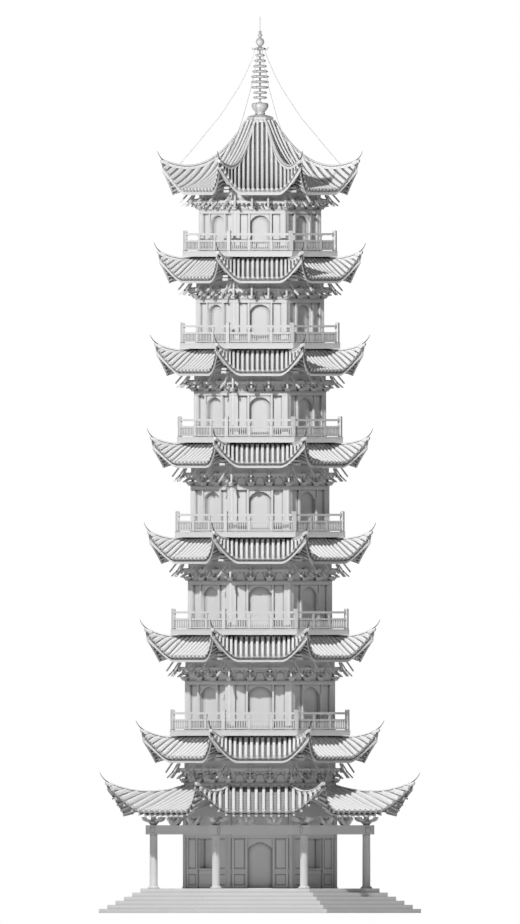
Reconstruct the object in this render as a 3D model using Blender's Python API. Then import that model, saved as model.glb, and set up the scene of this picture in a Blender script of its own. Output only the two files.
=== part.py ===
"""Seven-storey octagonal pagoda with a ground-floor gallery and a ringed spire.

The tower stands on a stepped stone base.  Each storey has an octagonal wall
with an arched door in every face, a lintel with bracket sets, a tiled roof
with upturned corners, and above it the floor slab of the next storey, which
runs out as a balcony.  A lower skirt roof covers the gallery round the ground
floor, whose four doors open inwards.

Metres, +Z up, origin at the centre of the base on the ground, front at -Y.
"""

import math
from collections import namedtuple

import bmesh
import bpy
from mathutils import Matrix, Vector

# Driving dimensions. A half width is measured from the axis to the middle of a side,
# or to an eave corner or tip along the same direction.
Storey = namedtuple("Storey", "floor wall lintel fascia eave corner tip tip_height deck")
STOREYS = (
    Storey(1.08, 3.28, 5.73, 6.60, 4.66, 5.24, 5.46, 8.47, 0.0),
    Storey(8.05, 3.24, 10.22, 11.04, 4.49, 5.06, 5.28, 12.91, 3.97),
    Storey(12.49, 3.11, 14.62, 15.36, 4.40, 4.93, 5.10, 17.18, 3.93),
    Storey(16.78, 2.99, 18.80, 19.58, 4.31, 4.80, 4.97, 21.32, 3.75),
    Storey(20.95, 2.85, 22.95, 23.63, 4.15, 4.62, 4.84, 25.45, 3.65),
    Storey(25.08, 2.76, 27.03, 27.71, 4.05, 4.49, 4.66, 29.50, 3.53),
    Storey(29.13, 2.63, 30.95, 31.59, 3.90, 4.36, 4.51, 33.52, 3.41),
)
GAP = 0.0003

STEPS = 6
STEP_RISE = 0.18
STEP_TREAD = 0.366
BASE_HALF = 7.09

GROUND_WALL_THICK = 0.60
UPPER_WALL_THICK = 0.45
SLAB_THICK = 0.25
SILL_HEIGHT = 0.06

LINTEL_HEIGHT = 0.18
LINTEL_DEPTH = 0.06
BRACKET_WIDTH = 0.16
BRACKET_REACH = 0.75
BRACKET_SPACING = 0.40
BRACKET_BITE = 0.0033
BRACKET_HEEL = 0.12
BRACKET_HEADROOM = 0.02

EAVE_THICK = 0.24
EAVE_LIFT = 0.95
EAVE_STRAIGHT = 0.47
SOFFIT_RISE = 0.45
ROOF_HEADROOM = 0.06
HORN_LENGTH = 0.55
HORN_HEIGHT = 0.30
HORN_WIDTH = 0.15
HORN_BITE = 0.05
TOP_ROOF_APEX = (0.60, 34.87)
TOP_ROOF_SHELL = 0.40

GALLERY_HALF = 4.68
COLUMN_RADIUS = 0.175
COLUMN_FOOT_RADIUS = 0.26
GALLERY_BEAM = (3.455, 3.863)
GALLERY_BEAM_WIDTH = 0.26
GALLERY_BRACKET_TOP = 4.25
GALLERY_BRACKET_REACH = 0.52
GALLERY_BRACKET_SPACING = 0.62
GALLERY_BRACKET_WIDTH = 0.36
GALLERY_BRACKET_FOOT = 0.11
GALLERY_BRACKET_BITE = 0.05
SKIRT = Storey(0.0, 3.28, 0.0, 4.27, 6.05, 6.78, 7.04, 6.18, 0.0)
SKIRT_TOP = 5.54
SKIRT_THICK = 0.20
SKIRT_SOFFIT_RISE = 0.16

RAIL_INSET = 0.13
RAIL_POST = 0.154
RAIL_POST_HEIGHT = 0.90
TOP_RAIL = (0.70, 0.79)
PARAPET = (0.03, 0.49)
TOP_RAIL_THICK = 0.08
PARAPET_THICK = 0.07

ARCH_SHARE = 0.395
ARCH_RISE = 0.27
ARCH_BELOW_LINTEL = 0.06
DOOR_PANEL_INSET = 0.14
DOOR_PANEL_THICK = 0.06

GROUND_ARCH_HALF = 0.526
GROUND_SPRINGING = 2.838
GROUND_ARCH_RISE = 0.286
GROUND_ARCH_DEPTH = 0.10
REBATE_HALF = 0.62
REBATE_TOP = 3.19
LEAF_HALF = 0.575
LEAF_THICK = 0.05
LEAF_DEPTH = 0.12
LEAF_CLEARANCE = 0.01
LEAF_TOP = 3.17
PIVOT_INSET = 0.025
PIVOT_RADIUS = 0.018
NICHE_HALF = 0.50
NICHE_DEPTH = 0.34
NICHE_LEVELS = (1.96, 3.26)

SPIRE_FOOT = TOP_ROOF_APEX[1] + GAP
MAST_RADIUS = 0.045
MAST_TOP = 37.95
RING_LEVELS = (35.88, 36.10, 36.33, 36.57, 36.80, 37.03, 37.26, 37.50, 37.74)
RING_RADII = (0.31, 0.31, 0.38, 0.40, 0.40, 0.35, 0.30, 0.26, 0.21)
RING_HEIGHT = 0.12
SPIRE_TOP = 39.47
STAY_THICK = 0.045
STAY_SAG = 0.42
STAY_PARTS = 6
STAY_RUN = 0.78

SIDES = 8
HALF_ANGLE = math.pi / SIDES
TO_CORNER = 1.0 / math.cos(HALF_ANGLE)
TAN_HALF = math.tan(HALF_ANGLE)

MATERIALS = {
    "stone": ((0.74, 0.73, 0.71), 0.85, 0.0),
    "plaster": ((0.82, 0.81, 0.79), 0.80, 0.0),
    "timber": ((0.80, 0.79, 0.76), 0.70, 0.0),
    "tile": ((0.77, 0.77, 0.76), 0.60, 0.0),
    "metal": ((0.75, 0.75, 0.74), 0.45, 0.6),
}


def clear_scene():
    for obj in list(bpy.data.objects):
        bpy.data.objects.remove(obj, do_unlink=True)


def add_object(name, bm):
    """Put a bmesh into the scene as one object with outward faces."""
    bmesh.ops.recalc_face_normals(bm, faces=bm.faces)
    mesh = bpy.data.meshes.new(name)
    bm.to_mesh(mesh)
    bm.free()
    obj = bpy.data.objects.new(name, mesh)
    bpy.context.scene.collection.objects.link(obj)
    return obj


def paint(obj, kind):
    """Give the object a material of its own."""
    colour, roughness, metallic = MATERIALS[kind]
    material = bpy.data.materials.new(obj.name + "_" + kind)
    material.use_nodes = True
    shader = material.node_tree.nodes["Principled BSDF"]
    shader.inputs["Base Color"].default_value = (*colour, 1.0)
    shader.inputs["Roughness"].default_value = roughness
    shader.inputs["Metallic"].default_value = metallic
    obj.data.materials.append(material)
    return obj


def smooth(obj, degrees=35):
    obj.data.shade_smooth()
    obj.data.set_sharp_from_angle(angle=math.radians(degrees))


def combine(obj, other, operation):
    """Join or cut obj with a guide object that is left out of the build."""
    other.hide_render = True
    other.display_type = "WIRE"
    modifier = obj.modifiers.new(operation.lower(), "BOOLEAN")
    modifier.operation = operation
    modifier.solver = "EXACT"
    modifier.object = other


def octagon(half, height):
    """Corner points of an octagon with a side facing -Y."""
    radius = half * TO_CORNER
    angles = (-math.pi / 2 - HALF_ANGLE + 2 * HALF_ANGLE * i for i in range(SIDES))
    return [Vector((radius * math.cos(a), radius * math.sin(a), height)) for a in angles]


def bridge_rows(bm, rows, closed):
    """Join rows of points, each a closed loop, with quads, and cap open ends."""
    loops = [[bm.verts.new(point) for point in row] for row in rows]
    count = len(rows[0])
    pairs = list(zip(loops, loops[1:]))
    if closed:
        pairs.append((loops[-1], loops[0]))
    else:
        bm.faces.new(loops[0])
        bm.faces.new(loops[-1])
    for lower, upper in pairs:
        for i in range(count):
            j = (i + 1) % count
            bm.faces.new((lower[i], lower[j], upper[j], upper[i]))


def octagonal_ring(name, profile, closed=True):
    """A ring, or a solid when not closed, from half widths and heights."""
    bm = bmesh.new()
    bridge_rows(bm, [octagon(half, height) for half, height in profile], closed)
    return add_object(name, bm)


def plate_ring(name, inner, outer, low, high):
    return octagonal_ring(name, [(inner, low), (outer, low), (outer, high), (inner, high)])


def add_prism(bm, outline, placement, low, high):
    """Extrude a flat outline of (x, y) points from low to high, then place it."""
    bottom = [bm.verts.new(placement @ Vector((x, y, low))) for x, y in outline]
    top = [bm.verts.new(placement @ Vector((x, y, high))) for x, y in outline]
    bm.faces.new(bottom)
    bm.faces.new(top)
    count = len(outline)
    for i in range(count):
        j = (i + 1) % count
        bm.faces.new((bottom[i], bottom[j], top[j], top[i]))


def side_turn(side, corner=False):
    """Rotation that brings the front side, or the corner after it, to place."""
    angle = 2 * HALF_ANGLE * side + (HALF_ANGLE if corner else 0.0)
    return Matrix.Rotation(angle, 4, "Z")


# Maps an outline's x to the outward direction of the front side, its y to height
# and its thickness to the direction along the side.
RADIAL = Matrix(((0, 0, 1, 0), (-1, 0, 0, 0), (0, 1, 0, 0), (0, 0, 0, 1)))
# Maps an outline's x along the front side, its y to height and its thickness inwards.
FACING = Matrix(((1, 0, 0, 0), (0, 0, 1, 0), (0, 1, 0, 0), (0, 0, 0, 1)))


def rectangle(left, right, low, high):
    return [(left, low), (right, low), (right, high), (left, high)]


def arch_outline(half, foot, springing, rise, inset=0.0):
    """Pointed arch: straight jambs, two chords each side and a centre point."""
    half -= inset
    rise -= inset
    right = [(half, foot), (half, springing), (0.62 * half, springing + 0.68 * rise)]
    left = [(-x, y) for x, y in reversed(right)]
    return right + [(0.0, springing + rise)] + left


def eave_share(share):
    """How far a point along the eave is on its way from straight to the corner."""
    return max(0.0, (abs(share) - EAVE_STRAIGHT) / (1.0 - EAVE_STRAIGHT))


def roof_row(roof, inner_half, inner_top, steep, lift_power, run, below=0.0):
    """Points of one row round the roof, from the wall (run 0) to the eave (run 1)."""
    shares = (-1.0, -0.74, -EAVE_STRAIGHT, EAVE_STRAIGHT, 0.74)
    eave_top = roof.fascia + (SKIRT_THICK if roof is SKIRT else EAVE_THICK)
    corner_side = roof.corner * TAN_HALF
    points = []
    for side in range(SIDES):
        for share in shares:
            bend = eave_share(share)
            outer_half = roof.eave + (roof.corner - roof.eave) * bend ** 1.6
            half = inner_half + (outer_half - inner_half) * run
            along = share * (inner_half * TAN_HALF * (1 - run) + corner_side * run)
            height = eave_top + (inner_top - eave_top) * (1 - run) ** steep
            height += EAVE_LIFT * bend ** 1.45 * run ** lift_power - below
            points.append(side_turn(side) @ Vector((along, -half, height)))
    return points


def hip_height(roof, inner_half, inner_top, steep, lift_power, half):
    """Height of the roof's surface on the hip line at a half width."""
    eave_top = roof.fascia + (SKIRT_THICK if roof is SKIRT else EAVE_THICK)
    run = (half - inner_half) / (roof.corner - inner_half)
    base = eave_top + (inner_top - eave_top) * (1 - run) ** steep
    return base + EAVE_LIFT * run ** lift_power


def add_horns(obj, roof, shape):
    """Join the upturned tips of the eight hips to the roof."""
    start = roof.corner - HORN_LENGTH
    foot = roof.corner - HORN_BITE
    outline = [(start, hip_height(roof, *shape, start) + 0.02),
               (roof.corner - 0.12, hip_height(roof, *shape, foot) + HORN_HEIGHT),
               (roof.tip, roof.tip_height),
               (roof.tip - HORN_BITE, roof.tip_height - 0.11),
               (foot, hip_height(roof, *shape, foot) - 0.10),
               (start, hip_height(roof, *shape, start) - 0.08)]
    outline = [(half * TO_CORNER, height) for half, height in outline]
    bm = bmesh.new()
    for side in range(SIDES):
        add_prism(bm, outline, side_turn(side, corner=True) @ RADIAL,
                  -HORN_WIDTH / 2, HORN_WIDTH / 2)
    combine(obj, add_object("join_" + obj.name + "_horns", bm), "UNION")


def make_ring_roof(name, roof, inner_top, soffit_rise):
    """A roof that runs round a wall, thick at the wall and thin at the eave."""
    inner_half = roof.wall + GAP
    shape = (inner_half, inner_top, 1.2, 1.0)
    thickness = SKIRT_THICK if roof is SKIRT else EAVE_THICK
    rows = [roof_row(roof, *shape, run) for run in (0.0, 0.5, 1.0)]
    rows.append(roof_row(roof, *shape, 1.0, below=thickness))
    inner_low = roof.fascia + soffit_rise
    rows.append([Vector((p.x, p.y, inner_low)) for p in rows[0]])
    bm = bmesh.new()
    bridge_rows(bm, rows, closed=True)
    bmesh.ops.triangulate(bm, faces=bm.faces)
    obj = paint(add_object(name, bm), "tile")
    add_horns(obj, roof, shape)


def make_top_roof():
    """The top roof closes the tower and carries the spire."""
    roof = STOREYS[-1]
    apex_half, apex_height = TOP_ROOF_APEX
    shape = (apex_half, apex_height, 1.6, 2.0)
    rows = [roof_row(roof, *shape, run) for run in (0.0, 0.22, 0.48, STAY_RUN, 1.0)]
    rows.append(roof_row(roof, *shape, 1.0, below=EAVE_THICK))
    scale = roof.wall / apex_half
    soffit = roof.fascia + SOFFIT_RISE
    rows.append([Vector((p.x * scale, p.y * scale, soffit)) for p in rows[0]])
    rows.append([Vector((p.x, p.y, apex_height - TOP_ROOF_SHELL)) for p in rows[0]])
    bm = bmesh.new()
    bridge_rows(bm, rows, closed=False)
    bmesh.ops.triangulate(bm, faces=bm.faces)
    obj = paint(add_object("roof_7", bm), "tile")
    add_horns(obj, roof, shape)
    return shape


def make_base():
    profile = []
    for step in range(STEPS):
        half = BASE_HALF - step * STEP_TREAD
        profile += [(half, step * STEP_RISE), (half, (step + 1) * STEP_RISE)]
    paint(octagonal_ring("stone_base", profile, closed=False), "stone")


def make_columns():
    """Eight round gallery columns on spreading feet."""
    low = STOREYS[0].floor + GAP
    high = GALLERY_BEAM[0] - GAP
    profile = [(COLUMN_FOOT_RADIUS, low), (COLUMN_FOOT_RADIUS, low + 0.05),
               (COLUMN_RADIUS, low + 0.10), (COLUMN_RADIUS, high)]
    for index, corner in enumerate(octagon(GALLERY_HALF, 0.0), start=1):
        bm = bmesh.new()
        rows = [ring_points(radius, height, 10) for radius, height in profile]
        bridge_rows(bm, rows, closed=False)
        column = paint(add_object("gallery_column_%d" % index, bm), "timber")
        column.location = corner
        smooth(column)


def ring_points(radius, height, count):
    angles = (2 * math.pi * i / count for i in range(count))
    return [Vector((radius * math.cos(a), radius * math.sin(a), height)) for a in angles]


def make_gallery_beam():
    """Beam over the columns with the brackets that carry the skirt roof."""
    low, high = GALLERY_BEAM
    inner = GALLERY_HALF - GALLERY_BEAM_WIDTH / 2
    outer = GALLERY_HALF + GALLERY_BEAM_WIDTH / 2
    beam = paint(plate_ring("gallery_beam", inner, outer, low, high), "timber")
    bm = bmesh.new()
    for side in range(SIDES):
        for offset in (-GALLERY_BRACKET_SPACING, GALLERY_BRACKET_SPACING):
            add_gallery_bracket(bm, side_turn(side), GALLERY_HALF, offset)
        corner = GALLERY_HALF * TO_CORNER
        add_gallery_bracket(bm, side_turn(side, corner=True), corner, 0.0)
    combine(beam, add_object("join_gallery_brackets", bm), "UNION")


def add_gallery_bracket(bm, turn, radius, offset):
    """A bracket that spreads inwards and outwards as it rises."""
    low = GALLERY_BEAM[1] - GALLERY_BRACKET_BITE
    foot = GALLERY_BRACKET_FOOT
    half = GALLERY_BRACKET_WIDTH / 2
    reach = GALLERY_BRACKET_REACH
    outline = [(radius - foot, low), (radius + foot, low),
               (radius + reach, GALLERY_BRACKET_TOP), (radius - reach, GALLERY_BRACKET_TOP)]
    add_prism(bm, outline, turn @ RADIAL, offset - half, offset + half)


def arch_cutter(name, half, low, springing, rise, sides, near, far):
    """Arched prisms that cut the given sides from half width near to far."""
    bm = bmesh.new()
    for side in sides:
        outline = arch_outline(half, low, springing, rise)
        add_prism(bm, outline, side_turn(side) @ FACING, -far, -near)
    return add_object(name, bm)


def box_cutter(name, half, low, high, sides, near, far):
    bm = bmesh.new()
    for side in sides:
        outline = rectangle(-half, half, low, high)
        add_prism(bm, outline, side_turn(side) @ FACING, -far, -near)
    return add_object(name, bm)


DOOR_SIDES = (0, 2, 4, 6)
NICHE_SIDES = (1, 3, 5, 7)


def make_ground_walls():
    """Four bent wall pieces between the doorways and the ring above them."""
    half = STOREYS[0].wall
    floor = STOREYS[0].floor + GAP
    niches = box_cutter("cut_niches", NICHE_HALF, *NICHE_LEVELS, NICHE_SIDES,
                        half - NICHE_DEPTH, half + 0.2)
    names = ("front_right", "back_right", "back_left", "front_left")
    for quarter, name in enumerate(names):
        bm = bmesh.new()
        add_prism(bm, quarter_outline(half), side_turn(2 * quarter),
                  floor, GROUND_SPRINGING - GAP)
        wall = paint(add_object("wall_1_" + name, bm), "plaster")
        combine(wall, niches, "DIFFERENCE")
    top = STOREYS[1].floor - SLAB_THICK - GAP
    upper = paint(plate_ring("wall_1_upper", half - GROUND_WALL_THICK, half,
                             GROUND_SPRINGING, top), "plaster")
    combine(upper, niches, "DIFFERENCE")
    arches = arch_cutter("cut_ground_arches", GROUND_ARCH_HALF, floor, GROUND_SPRINGING,
                         GROUND_ARCH_RISE, DOOR_SIDES, half - 0.2, half + 0.2)
    combine(upper, arches, "DIFFERENCE")
    rebates = box_cutter("cut_rebates", REBATE_HALF, floor, REBATE_TOP, DOOR_SIDES,
                         half - GROUND_WALL_THICK - 0.2, half - GROUND_ARCH_DEPTH)
    combine(upper, rebates, "DIFFERENCE")


def quarter_outline(half):
    """Plan of the wall from the front doorway round to the right-hand one."""
    rebate = half - GROUND_ARCH_DEPTH
    inner = half - GROUND_WALL_THICK
    front = [(GROUND_ARCH_HALF, -rebate), (GROUND_ARCH_HALF, -half), (half * TAN_HALF, -half)]
    right = [(-y, -x) for x, y in reversed(front)]
    back = [(inner, -REBATE_HALF), (inner, -inner * TAN_HALF)]
    back = [(rebate, -REBATE_HALF)] + back
    room = [(-y, -x) for x, y in reversed(back)]
    return front + right + back + room


def make_upper_wall(index):
    """Octagonal wall with an arched doorway through every side."""
    storey = STOREYS[index - 1]
    low = storey.floor + SILL_HEIGHT + 2 * GAP
    if index < len(STOREYS):
        high = STOREYS[index].floor - SLAB_THICK - GAP
    else:
        high = storey.fascia + SOFFIT_RISE - GAP
    inner = storey.wall - UPPER_WALL_THICK
    wall = paint(plate_ring("wall_%d" % index, inner, storey.wall, low, high), "plaster")
    half, springing = arch_sizes(storey)
    cutter = arch_cutter("cut_arches_%d" % index, half, low - 0.1, springing, ARCH_RISE,
                         range(SIDES), inner - 0.2, storey.wall + 0.2)
    combine(wall, cutter, "DIFFERENCE")


def arch_sizes(storey):
    """Half width and springing level of a storey's arches."""
    half = ARCH_SHARE * storey.wall * TAN_HALF
    apex = storey.lintel - LINTEL_HEIGHT - ARCH_BELOW_LINTEL
    return half, apex - ARCH_RISE


def make_upper_doors(index):
    """Sill under the wall with a fixed door board in each arch."""
    storey = STOREYS[index - 1]
    low = storey.floor + GAP
    high = storey.floor + SILL_HEIGHT
    inner = storey.wall - UPPER_WALL_THICK
    doors = paint(plate_ring("doors_%d" % index, inner, storey.wall, low, high), "timber")
    half, springing = arch_sizes(storey)
    outline = arch_outline(half, high - 0.02, springing, ARCH_RISE, inset=GAP)
    front = storey.wall - DOOR_PANEL_INSET
    bm = bmesh.new()
    for side in range(SIDES):
        add_prism(bm, outline, side_turn(side) @ FACING, -front, -front + DOOR_PANEL_THICK)
    combine(doors, add_object("join_door_panels_%d" % index, bm), "UNION")


def make_brackets(index):
    """Lintel round the wall with its bracket arms."""
    storey = STOREYS[index - 1]
    low = storey.lintel - LINTEL_HEIGHT
    name = "brackets_%d" % index
    frame = paint(plate_ring(name, storey.wall + GAP, storey.wall + LINTEL_DEPTH,
                             low, storey.lintel), "timber")
    bm = bmesh.new()
    for side in range(SIDES):
        for offset in (-BRACKET_SPACING, BRACKET_SPACING):
            add_bracket(bm, storey, side_turn(side), 1.0, offset)
        add_bracket(bm, storey, side_turn(side, corner=True), TO_CORNER, 0.0)
    combine(frame, add_object("join_arms_%d" % index, bm), "UNION")


def add_bracket(bm, storey, turn, stretch, offset):
    """A bracket arm from the lintel out under the soffit."""
    root = storey.wall * stretch + BRACKET_BITE
    tip = root + BRACKET_REACH
    soffit = storey.fascia + SOFFIT_RISE - BRACKET_HEADROOM
    fall = SOFFIT_RISE * BRACKET_REACH / (storey.eave - storey.wall)
    outline = [(root, storey.lintel - BRACKET_HEEL), (tip, soffit - fall), (root, soffit)]
    add_prism(bm, outline, turn @ RADIAL, offset - BRACKET_WIDTH / 2, offset + BRACKET_WIDTH / 2)


def make_floor(index):
    """Floor slab that runs out past the wall as the balcony."""
    storey = STOREYS[index - 1]
    profile = [(storey.deck, storey.floor - SLAB_THICK), (storey.deck, storey.floor)]
    paint(octagonal_ring("floor_%d" % index, profile, closed=False), "timber")


def make_balustrade(index):
    """Corner posts, top rail and the baluster band, kept as one thin band."""
    storey = STOREYS[index - 1]
    line = storey.deck - RAIL_INSET
    floor = storey.floor
    band = paint(plate_ring("balustrade_%d" % index, line - PARAPET_THICK / 2,
                            line + PARAPET_THICK / 2, floor + PARAPET[0],
                            floor + PARAPET[1]), "timber")
    rail = plate_ring("join_rail_%d" % index, line - TOP_RAIL_THICK / 2,
                      line + TOP_RAIL_THICK / 2, floor + TOP_RAIL[0], floor + TOP_RAIL[1])
    bm = bmesh.new()
    radius = line * TO_CORNER
    half = RAIL_POST / 2
    outline = rectangle(-half, half, -radius - half, -radius + half)
    for side in range(SIDES):
        add_prism(bm, outline, side_turn(side, corner=True),
                  floor + GAP, floor + RAIL_POST_HEIGHT)
    posts = add_object("join_posts_rail_%d" % index, bm)
    combine(posts, rail, "UNION")
    combine(band, posts, "UNION")


def make_door(name, side):
    """One ground-floor leaf, turned on pins at its left edge."""
    depth = STOREYS[0].wall - LEAF_DEPTH - LEAF_THICK / 2
    floor = STOREYS[0].floor
    low = floor + LEAF_CLEARANCE
    width = 2 * LEAF_HALF
    bm = bmesh.new()
    outline = rectangle(-PIVOT_INSET, width - PIVOT_INSET, -LEAF_THICK / 2, LEAF_THICK / 2)
    add_prism(bm, outline, Matrix.Identity(4), low, LEAF_TOP)
    leaf = paint(add_object(name, bm), "timber")
    bm = bmesh.new()
    for start, end in ((floor + GAP, low + 0.03), (LEAF_TOP - 0.03, REBATE_TOP - GAP)):
        pin = [(p.x, p.y) for p in ring_points(PIVOT_RADIUS, 0.0, 8)]
        add_prism(bm, pin, Matrix.Identity(4), start, end)
    pins = add_object("join_pins_" + name, bm)
    axis = Vector((PIVOT_INSET - LEAF_HALF, -depth, 0.0))
    for obj in (leaf, pins):
        obj.matrix_world = side_turn(side) @ Matrix.Translation(axis)
    combine(leaf, pins, "UNION")


def make_spire():
    """Octagonal foot, bowl, and the mast with nine rings."""
    foot = SPIRE_FOOT
    profile = [(0.58, foot), (0.58, foot + 0.10), (0.44, foot + 0.20), (0.22, foot + 0.26),
               (0.22, foot + 0.38), (0.37, foot + 0.64), (0.33, foot + 0.77),
               (MAST_RADIUS, foot + 0.80)]
    for level, radius in zip(RING_LEVELS, RING_RADII):
        half = RING_HEIGHT / 2
        profile += [(MAST_RADIUS, level - half), (radius, level), (MAST_RADIUS, level + half)]
    profile.append((MAST_RADIUS, MAST_TOP))
    bm = bmesh.new()
    bridge_rows(bm, [ring_points(r, z, SIDES) for r, z in profile], closed=False)
    smooth(paint(add_object("spire", bm), "metal"))


def stay_points(shape):
    """Sagging line of a stay from the crown to the top roof's hip."""
    roof = STOREYS[-1]
    landing = shape[0] + (roof.corner - shape[0]) * STAY_RUN
    rest = hip_height(roof, *shape, landing) + STAY_THICK / 2 + GAP
    start = Vector((0.20, 0.0, MAST_TOP + 0.07))
    end = Vector((landing * TO_CORNER, 0.0, rest))
    points = []
    for i in range(STAY_PARTS + 1):
        share = i / STAY_PARTS
        point = start.lerp(end, share)
        point.z -= 4 * STAY_SAG * share * (1 - share)
        points.append(point)
    return points


def make_finial(shape):
    """Crown with pearl and needle, and the eight stays down to the hips."""
    low = MAST_TOP + GAP
    profile = [(0.12, low), (0.38, low + 0.10), (0.22, low + 0.16), (0.07, low + 0.20),
               (0.07, low + 0.27), (0.19, low + 0.44), (0.07, low + 0.60), (0.12, low + 0.72),
               (0.04, low + 0.82), (0.02, SPIRE_TOP)]
    bm = bmesh.new()
    bridge_rows(bm, [ring_points(r, z, SIDES) for r, z in profile], closed=False)
    crown = paint(add_object("crown_and_stays", bm), "metal")
    smooth(crown)
    bm = bmesh.new()
    half = STAY_THICK / 2
    points = stay_points(shape)
    for side in range(SIDES):
        turn = side_turn(side, corner=True) @ Matrix.Rotation(-math.pi / 2, 4, "Z")
        rows = []
        for point in points:
            x, z = point.x, point.z
            corners = ((x, -half, z - half), (x, half, z - half),
                       (x, half, z + half), (x, -half, z + half))
            rows.append([turn @ Vector(c) for c in corners])
        bridge_rows(bm, rows, closed=False)
    combine(crown, add_object("join_stays", bm), "UNION")


def main():
    clear_scene()
    make_base()
    make_columns()
    make_gallery_beam()
    make_ring_roof("skirt_roof", SKIRT, SKIRT_TOP, SKIRT_SOFFIT_RISE)
    make_ground_walls()
    for index in range(2, len(STOREYS) + 1):
        make_upper_doors(index)
        make_upper_wall(index)
        make_floor(index)
        make_balustrade(index)
    for index in range(1, len(STOREYS) + 1):
        make_brackets(index)
    for index in range(1, len(STOREYS)):
        above = STOREYS[index]
        make_ring_roof("roof_%d" % index, STOREYS[index - 1],
                       above.floor - SLAB_THICK - ROOF_HEADROOM, SOFFIT_RISE)
    shape = make_top_roof()
    for name, side in zip(("door_front", "door_right", "door_back", "door_left"), DOOR_SIDES):
        make_door(name, side)
    make_spire()
    make_finial(shape)


main()
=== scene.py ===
"""Looks of the seven-storey octagonal pagoda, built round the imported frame."""

import math
from collections import namedtuple

import bmesh
import bpy
from mathutils import Matrix, Vector


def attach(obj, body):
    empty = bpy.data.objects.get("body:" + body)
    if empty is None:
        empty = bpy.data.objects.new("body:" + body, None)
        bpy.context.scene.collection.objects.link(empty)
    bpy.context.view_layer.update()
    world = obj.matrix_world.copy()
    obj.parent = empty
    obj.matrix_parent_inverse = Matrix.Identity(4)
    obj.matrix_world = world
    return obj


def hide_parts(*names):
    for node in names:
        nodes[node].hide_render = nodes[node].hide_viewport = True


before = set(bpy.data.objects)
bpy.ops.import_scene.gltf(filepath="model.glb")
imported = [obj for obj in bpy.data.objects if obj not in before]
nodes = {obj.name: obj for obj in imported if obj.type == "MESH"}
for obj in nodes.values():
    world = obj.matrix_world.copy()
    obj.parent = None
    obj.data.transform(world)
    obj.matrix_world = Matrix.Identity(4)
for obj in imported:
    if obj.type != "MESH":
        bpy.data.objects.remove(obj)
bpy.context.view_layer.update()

# Half widths run from the axis to the middle of a side. Metres, front at -Y.
Storey = namedtuple("Storey", "floor wall lintel fascia eave corner tip tip_height deck "
                              "face pitch")
STOREYS = (
    Storey(1.08, 3.28, 5.73, 6.60, 4.66, 5.24, 5.46, 8.47, 0.0, 3.335, 0.2470),
    Storey(8.05, 3.24, 10.22, 11.04, 4.49, 5.06, 5.28, 12.91, 3.97, 3.30, 0.2385),
    Storey(12.49, 3.11, 14.62, 15.36, 4.40, 4.93, 5.10, 17.18, 3.93, 3.168, 0.2325),
    Storey(16.78, 2.99, 18.80, 19.58, 4.31, 4.80, 4.97, 21.32, 3.75, 3.049, 0.2275),
    Storey(20.95, 2.85, 22.95, 23.63, 4.15, 4.62, 4.84, 25.45, 3.65, 2.904, 0.2190),
    Storey(25.08, 2.76, 27.03, 27.71, 4.05, 4.49, 4.66, 29.50, 3.53, 2.816, 0.2130),
    Storey(29.13, 2.63, 30.95, 31.59, 3.90, 4.36, 4.51, 33.52, 3.41, 2.686, 0.2070),
)
SKIRT = Storey(0.0, 3.28, 0.0, 4.27, 6.05, 6.78, 7.04, 6.18, 0.0, 3.335, 0.3313)

SIDES = 8
HALF_ANGLE = math.pi / SIDES
TO_CORNER = 1.0 / math.cos(HALF_ANGLE)
TAN_HALF = math.tan(HALF_ANGLE)
EAVE_STRAIGHT = 0.47


# Materials

# Painted shade: ambient occlusion darkens the colour in joints, creases and inner corners.
CREASE_SHADE_REACH = 0.11
CREASE_SHADE_FROM = (0.30, 0.92)
CREASE_SHADE_LEFT = 0.10


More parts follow.
